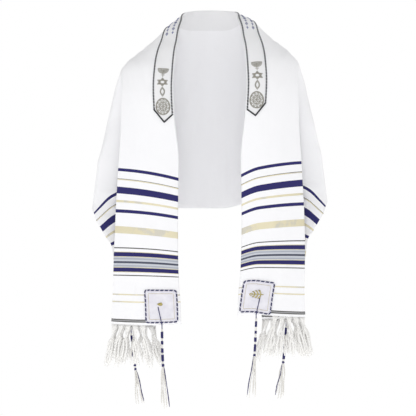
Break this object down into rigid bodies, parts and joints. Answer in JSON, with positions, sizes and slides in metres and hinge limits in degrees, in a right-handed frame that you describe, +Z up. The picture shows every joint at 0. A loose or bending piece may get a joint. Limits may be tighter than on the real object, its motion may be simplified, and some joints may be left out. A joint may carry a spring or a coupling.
{
  "type": "worn tallit prayer shawl",
  "caption": "Striped white prayer shawl draped as worn over the shoulders, with a neckband, corner patches, fringed ends and wound corner tassels.",
  "frame": {"origin": "inside the neck edge at the nape, where the wearer's neck and shoulders hold the shawl up", "axes": "+Z up, -Y towards the open front, +X towards the viewer's right"},
  "size_m": [0.6129, 0.2492, 1.0417],
  "materials": {
    "shawl": "white plain weave with woven stripes",
    "neckband": "pale grey brocade",
    "patch": "white satin weave",
    "fringe": "loose white yarn",
    "tassel": "white and navy twisted yarn"
  },
  "bodies": {
    "root": {"shawl": "shawl", "neckband": "neckband", "patch_front_left": "patch", "patch_front_right": "patch", "patch_back_left": "patch", "patch_back_right": "patch", "fringe_left": "fringe", "fringe_right": "fringe", "tassel_front_left": "tassel", "tassel_front_right": "tassel", "tassel_back_left": "tassel", "tassel_back_right": "tassel"}
  },
  "joints": []
}
